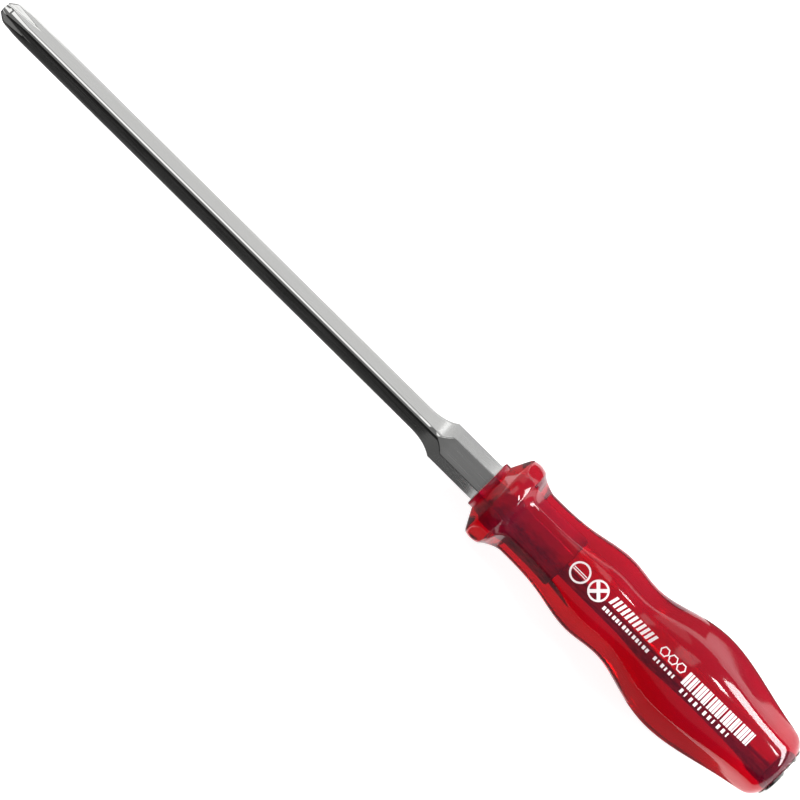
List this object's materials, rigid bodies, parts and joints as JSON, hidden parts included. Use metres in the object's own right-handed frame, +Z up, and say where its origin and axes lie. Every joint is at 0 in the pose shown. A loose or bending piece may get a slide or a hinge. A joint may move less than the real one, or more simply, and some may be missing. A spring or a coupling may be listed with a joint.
{
  "type": "screwdriver",
  "caption": "Cross-tip screwdriver with a square blade, hexagon bolster, clear red six-sided handle and a steel striking cap joined to the blade through the handle.",
  "frame": {"origin": "on the ground below the middle of the tool's length, with the tool lying level", "axes": "+X along the tool from the cross tip to the striking cap, +Z up through the printed flat of the handle"},
  "size_m": [0.3254, 0.0362, 0.0343],
  "materials": {
    "plated_steel": "bright plating, satin on the forged bolster",
    "red_plastic": "clear red, polished",
    "cap_steel": "bright plating",
    "white_ink": "printed"
  },
  "bodies": {
    "root": {"blade": "plated_steel", "handle": "red_plastic", "striking_cap": "cap_steel"}
  },
  "joints": []
}
